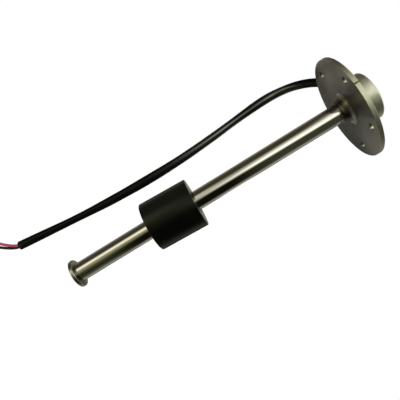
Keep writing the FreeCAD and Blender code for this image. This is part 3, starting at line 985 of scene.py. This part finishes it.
def make_floor():
    """Pale paint that glows white where it is seen."""
    material = bpy.data.materials.new("floor")
    tree = Tree(material)
    tree.nodes.clear()
    paint = tree.new("BsdfDiffuse")
    tone = tree.drift(tree.noise(tree.place(), scale=3, detail=3), FLOOR_TONES)
    tree.feed(paint.inputs["Color"], tone)
    glow = tree.new("Emission")
    glow.inputs["Strength"].default_value = FLOOR_GLOW
    share = tree.times(tree.seen(), FLOOR_GLOW_SHARE)
    output = tree.new("OutputMaterial")
    shaded = tree.mix_shaders(share, paint.outputs["BSDF"], glow.outputs["Emission"])
    tree.feed(output.inputs["Surface"], shaded)
    corners = [
        (x * FLOOR_HALF_SIDE, y * FLOOR_HALF_SIDE, FLOOR_LEVEL)
        for x, y in ((-1, -1), (1, -1), (1, 1), (-1, 1))
    ]
    floor = add_mesh("floor", corners, [(0, 1, 2, 3)], material, smooth=False)


# Tints round the tent, from behind past the stem's upper edge, the camera and the lower edge to behind
TENT_TINT = [
    (0.0, (0.95, 0.93, 0.84)),
    (0.12, (1.0, 0.92, 0.70)),
    (0.22, (1.0, 0.89, 0.56)),
    (0.32, (1.0, 0.90, 0.64)),
    (0.40, (0.95, 0.93, 0.80)),
    (0.5, (0.94, 0.95, 0.84)),
    (0.57, (0.86, 0.95, 0.70)),
    (0.64, (0.92, 0.94, 0.68)),
    (0.74, (0.97, 0.94, 0.68)),
    (0.84, (0.98, 0.94, 0.82)),
    (1.0, (0.95, 0.93, 0.84)),
]
TENT_LOW_TINT = [
    (0.0, (0.95, 0.93, 0.84)),
    (0.30, (1.0, 0.90, 0.66)),
    (0.40, (1.0, 0.94, 0.79)),
    (0.45, (0.99, 0.97, 0.71)),
    (0.49, (0.97, 0.98, 0.61)),
    (0.55, (0.93, 0.98, 0.57)),
    (0.62, (0.89, 0.97, 0.55)),
    (0.72, (0.86, 0.94, 0.68)),
    (0.84, (0.98, 0.94, 0.80)),
    (1.0, (0.95, 0.93, 0.84)),
]
# The azimuth that faces the camera, in degrees, and how the key light leans in degrees for a metre of level
TENT_FRONT = 9
KEY_LEAN = 30


def make_tent_glow():
    """The tent's lights, by azimuth and level.

    Azimuth is in degrees, positive to the stem's lower edge. Level is in metres above the tent's middle.
    """
    material = bpy.data.materials.new("tent")
    tree = Tree(material)
    tree.nodes.clear()
    x, y, level = tree.axes(tree.new("TexCoord").outputs["Object"])
    azimuth = tree.plus(tree.times(tree.math("ARCTAN2", y, x), 180 / math.pi), TENT_FRONT)
    away = tree.math("ABSOLUTE", azimuth)
    leaning = tree.minus(azimuth, tree.times(level, KEY_LEAN))
    leaning = tree.plus(leaning, tree.rise(level, 0.20, 0.34, 4.7, 10.0))
    upper = tree.rise(level, -0.14, 0.20)
    lower = tree.fall(level, -0.17, 0.06)
    bottom = tree.fall(level, -0.26, -0.17)
    left = tree.span(azimuth, -10, 10, 1, 0)
    right = tree.minus(1, left)
    low_rear = tree.rise(level, 0.20, 0.28, 1, 0.4)
    # Each light has its strength, and then the shares of the tent that it covers
    lights = {
        "dim_left": (0.05, left),
        "dim_right": (1.0, right, tree.rise(level, 0.02, 0.15, 0.005, 0.05)),
        "dim_bottom": (0.018, right, bottom),
        "key": (1.35, tree.window(leaning, -50, 3, 5, 31), upper),
        "core": (0.6, tree.window(leaning, -10, 0, 6, 15), upper),
        "wing": (0.6, tree.window(azimuth, -75, -45, -30, -5), tree.rise(level, 0.18, 0.36)),
        "edge": (0.24, tree.window(azimuth, 2, 20, 36, 92), tree.rise(level, 0.25, 0.32)),
        "strip": (1.1, tree.window(azimuth, -55, -30, -28, -6), lower),
        "shelf": (0.28, tree.window(azimuth, -30, -12, -8, 32), lower),
        "toe": (0.045, tree.window(azimuth, -5, 15, 20, 60), bottom),
        "side": (0.07, tree.window(azimuth, 60, 100, 104, 125), bottom),
        "rear_left": (0.40, tree.rise(away, 89, 155), tree.rise(away, 122, 152, 1, 0.10), left, low_rear),
        "rear_right": (0.44, tree.rise(away, 90, 146), tree.rise(away, 132, 158, 1, 0.08), right, low_rear),
        "sliver": (1.1, tree.window(level, -0.01, 0.02, 0.05, 0.09), tree.rise(away, 148, 166)),
        "base": (0.7, tree.fall(level, -0.58, -0.42), tree.span(azimuth, -10, 10, 1, 0.2)),
        "crown": (0.5, tree.rise(level, 0.48, 0.60)),
        "behind": (0.9, tree.window(level, 0.28, 0.36, 0.48, 0.58), tree.rise(away, 125, 150)),
    }
    around = tree.span(azimuth, -180, 180)
    tint = tree.blend(lower, tree.ramp(around, TENT_TINT), tree.ramp(around, TENT_LOW_TINT))
    glow = tree.new("Emission")
    tree.feed(glow.inputs["Color"], tint)
    tree.feed(glow.inputs["Strength"], tree.plus(*[tree.times(*parts) for parts in lights.values()]))
    output = tree.new("OutputMaterial")
    tree.feed(output.inputs["Surface"], glow.outputs["Emission"])
    return material


def make_tent():
    """A sphere round the object, turned so that its own X points to the camera."""
    mesh = bpy.data.meshes.new("tent")
    shell = bmesh.new()
    bmesh.ops.create_uvsphere(shell, u_segments=64, v_segments=32, radius=TENT_RADIUS)
    shell.to_mesh(mesh)
    shell.free()
    mesh.materials.append(make_tent_glow())
    tent = add_object("tent", mesh)
    turned = Matrix((TO_CAMERA, -TO_UPPER_EDGE, Vector((0, 0, 1)))).transposed().to_4x4()
    turned.translation = TENT_MIDDLE
    tent.matrix_world = turned
    for kind in ("camera", "diffuse", "transmission", "volume_scatter", "shadow"):
        setattr(tent, "visible_" + kind, False)


def make_lamp(name, place, size, power):
    """A round lamp that points at the object and isn't seen in reflections."""
    data = bpy.data.lights.new(name, "AREA")
    data.shape = "DISK"
    data.size = size
    data.energy = power
    lamp = add_object(name, data)
    lamp.location = place
    lamp.rotation_euler = (LAMP_AIM - Vector(place)).to_track_quat("-Z", "Y").to_euler()
    lamp.visible_glossy = False


make_camera()
make_world()
make_floor()
make_tent()
make_lamp("key", place=(-0.9, -0.5, 0.9), size=0.8, power=14)
make_lamp("fill", place=(0.8, -0.9, 0.3), size=1.0, power=6)
